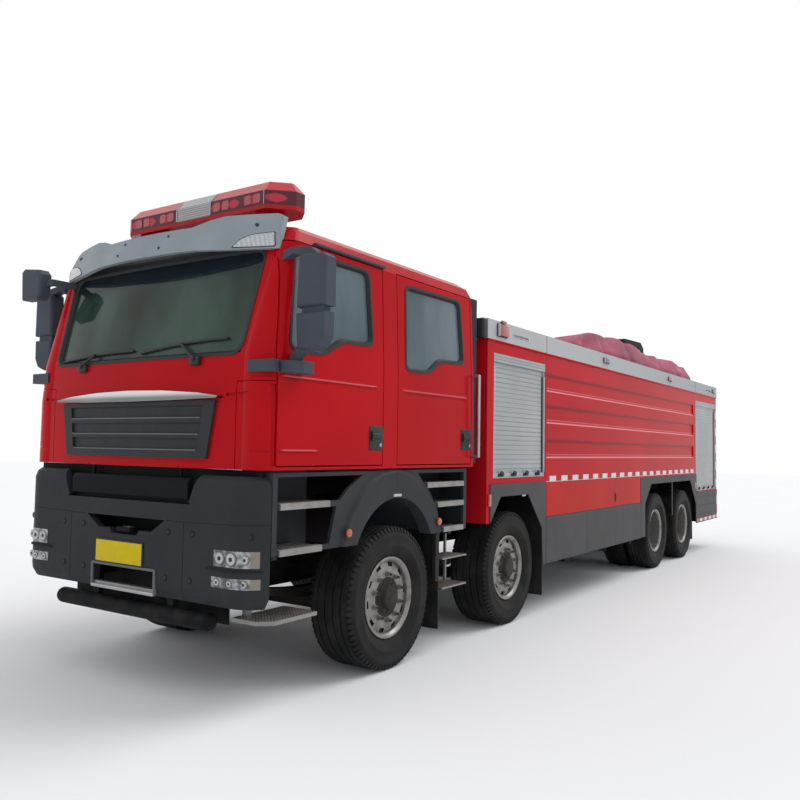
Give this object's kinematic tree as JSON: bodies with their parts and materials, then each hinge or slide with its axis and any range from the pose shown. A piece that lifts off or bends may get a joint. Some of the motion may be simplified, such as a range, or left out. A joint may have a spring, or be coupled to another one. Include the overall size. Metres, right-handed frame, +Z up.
{
  "type": "airport fire engine",
  "caption": "Eight-wheel airport fire tender with a four-door crew cab, tilting cab, twin-steer front axles, roller shutters and a covered roof monitor.",
  "frame": {"origin": "on the ground under the middle of the vehicle", "axes": "front faces -Y, the vehicle's left is +X, +Z is up"},
  "size_m": [3.04, 11.62, 3.59],
  "materials": {
    "red_paint": "gloss",
    "orange_paint": "gloss",
    "grey_plastic": "satin",
    "black_plastic": "satin",
    "chassis_paint": "satin",
    "silver_paint": "satin",
    "tyre": "matt",
    "aluminium": "satin",
    "chrome": "polished",
    "tinted_glass": "clear",
    "red_lens": "gloss",
    "lamp_body": "gloss",
    "interior_trim": "matt",
    "seat_cloth": "matt",
    "cover_cloth": "matt",
    "rubber": "matt"
  },
  "bodies": {
    "chassis": {"frame": "chassis_paint", "axles": "chassis_paint", "leaf_springs": "chassis_paint", "driveline": "chassis_paint", "bumper": "grey_plastic", "front_bars": "black_plastic", "step_wells": "grey_plastic", "step_treads": "aluminium", "body": "red_paint", "shutters": "silver_paint", "top_band": "silver_paint", "lower_panels": "orange_paint", "skirts": "grey_plastic", "roof_deck": "aluminium", "monitor_cover": "cover_cloth", "tail_boards": "aluminium", "mudflaps": "rubber", "headlamps": "lamp_body"},
    "cab": {"cab_shell": "red_paint", "windscreen": "tinted_glass", "sun_visor": "grey_plastic", "light_bar_base": "red_paint", "light_bar_lens": "red_lens", "grille_panel": "black_plastic", "grille_bar": "chrome", "dash": "interior_trim", "seats": "seat_cloth", "steering_wheel": "black_plastic", "cab_fittings": "black_plastic", "grab_rails": "chrome"},
    "door_front_left": {"door_front_left": "red_paint", "glass_front_left": "tinted_glass", "mirror_left": "black_plastic"},
    "door_front_right": {"door_front_right": "red_paint", "glass_front_right": "tinted_glass", "mirror_right": "black_plastic"},
    "door_rear_left": {"door_rear_left": "red_paint", "glass_rear_left": "tinted_glass"},
    "door_rear_right": {"door_rear_right": "red_paint", "glass_rear_right": "tinted_glass"},
    "knuckle_1_left": {"knuckle_1_left": "chassis_paint"},
    "wheel_1_left": {"tyre_1_left": "tyre", "rim_1_left": "silver_paint"},
    "knuckle_1_right": {"knuckle_1_right": "chassis_paint"},
    "wheel_1_right": {"tyre_1_right": "tyre", "rim_1_right": "silver_paint"},
    "knuckle_2_left": {"knuckle_2_left": "chassis_paint"},
    "wheel_2_left": {"tyre_2_left": "tyre", "rim_2_left": "silver_paint"},
    "knuckle_2_right": {"knuckle_2_right": "chassis_paint"},
    "wheel_2_right": {"tyre_2_right": "tyre", "rim_2_right": "silver_paint"},
    "wheels_3_left": {"tyres_3_left": "tyre", "rims_3_left": "silver_paint"},
    "wheels_3_right": {"tyres_3_right": "tyre", "rims_3_right": "silver_paint"},
    "wheels_4_left": {"tyres_4_left": "tyre", "rims_4_left": "silver_paint"},
    "wheels_4_right": {"tyres_4_right": "tyre", "rims_4_right": "silver_paint"}
  },
  "joints": [
    {"name": "cab_tilt", "type": "hinge", "parent": "chassis", "child": "cab", "pos_m": [0, -5.71, 1.49], "axis": [1, 0, 0], "range_deg": [0, 45]},
    {"name": "door_front_left_swing", "type": "hinge", "parent": "cab", "child": "door_front_left", "pos_m": [1.22, -5.632, 2.2], "axis": [0, 0, -1], "range_deg": [0, 60]},
    {"name": "door_front_right_swing", "type": "hinge", "parent": "cab", "child": "door_front_right", "pos_m": [-1.22, -5.632, 2.2], "axis": [0, 0, 1], "range_deg": [0, 60]},
    {"name": "door_rear_left_swing", "type": "hinge", "parent": "cab", "child": "door_rear_left", "pos_m": [1.22, -4.328, 2.2], "axis": [0, 0, -1], "range_deg": [0, 75]},
    {"name": "door_rear_right_swing", "type": "hinge", "parent": "cab", "child": "door_rear_right", "pos_m": [-1.22, -4.328, 2.2], "axis": [0, 0, 1], "range_deg": [0, 75]},
    {"name": "steer_1_left", "type": "hinge", "parent": "chassis", "child": "knuckle_1_left", "pos_m": [0.835, -4.33, 0.51], "axis": [0, 0, 1], "range_deg": [-30, 30]},
    {"name": "spin_1_left", "type": "hinge", "parent": "knuckle_1_left", "child": "wheel_1_left", "pos_m": [1.015, -4.33, 0.52], "axis": [1, 0, 0], "continuous": true},
    {"name": "steer_1_right", "type": "hinge", "parent": "chassis", "child": "knuckle_1_right", "pos_m": [-0.835, -4.33, 0.51], "axis": [0, 0, 1], "range_deg": [-30, 30]},
    {"name": "spin_1_right", "type": "hinge", "parent": "knuckle_1_right", "child": "wheel_1_right", "pos_m": [-1.015, -4.33, 0.52], "axis": [1, 0, 0], "continuous": true},
    {"name": "steer_2_left", "type": "hinge", "parent": "chassis", "child": "knuckle_2_left", "pos_m": [0.835, -2.38, 0.51], "axis": [0, 0, 1], "range_deg": [-21, 21]},
    {"name": "spin_2_left", "type": "hinge", "parent": "knuckle_2_left", "child": "wheel_2_left", "pos_m": [1.015, -2.38, 0.52], "axis": [1, 0, 0], "continuous": true},
    {"name": "steer_2_right", "type": "hinge", "parent": "chassis", "child": "knuckle_2_right", "pos_m": [-0.835, -2.38, 0.51], "axis": [0, 0, 1], "range_deg": [-21, 21]},
    {"name": "spin_2_right", "type": "hinge", "parent": "knuckle_2_right", "child": "wheel_2_right", "pos_m": [-1.015, -2.38, 0.52], "axis": [1, 0, 0], "continuous": true},
    {"name": "spin_3_left", "type": "hinge", "parent": "chassis", "child": "wheels_3_left", "pos_m": [0.9, 2.22, 0.52], "axis": [1, 0, 0], "continuous": true},
    {"name": "spin_3_right", "type": "hinge", "parent": "chassis", "child": "wheels_3_right", "pos_m": [-0.9, 2.22, 0.52], "axis": [1, 0, 0], "continuous": true},
    {"name": "spin_4_left", "type": "hinge", "parent": "chassis", "child": "wheels_4_left", "pos_m": [0.9, 3.62, 0.52], "axis": [1, 0, 0], "continuous": true},
    {"name": "spin_4_right", "type": "hinge", "parent": "chassis", "child": "wheels_4_right", "pos_m": [-0.9, 3.62, 0.52], "axis": [1, 0, 0], "continuous": true}
  ],
  "couplings": [
    {"joint": "steer_1_right", "follows": "steer_1_left", "ratio": 1},
    {"joint": "steer_2_left", "follows": "steer_1_left", "ratio": 0.7},
    {"joint": "steer_2_right", "follows": "steer_1_left", "ratio": 0.7}
  ]
}
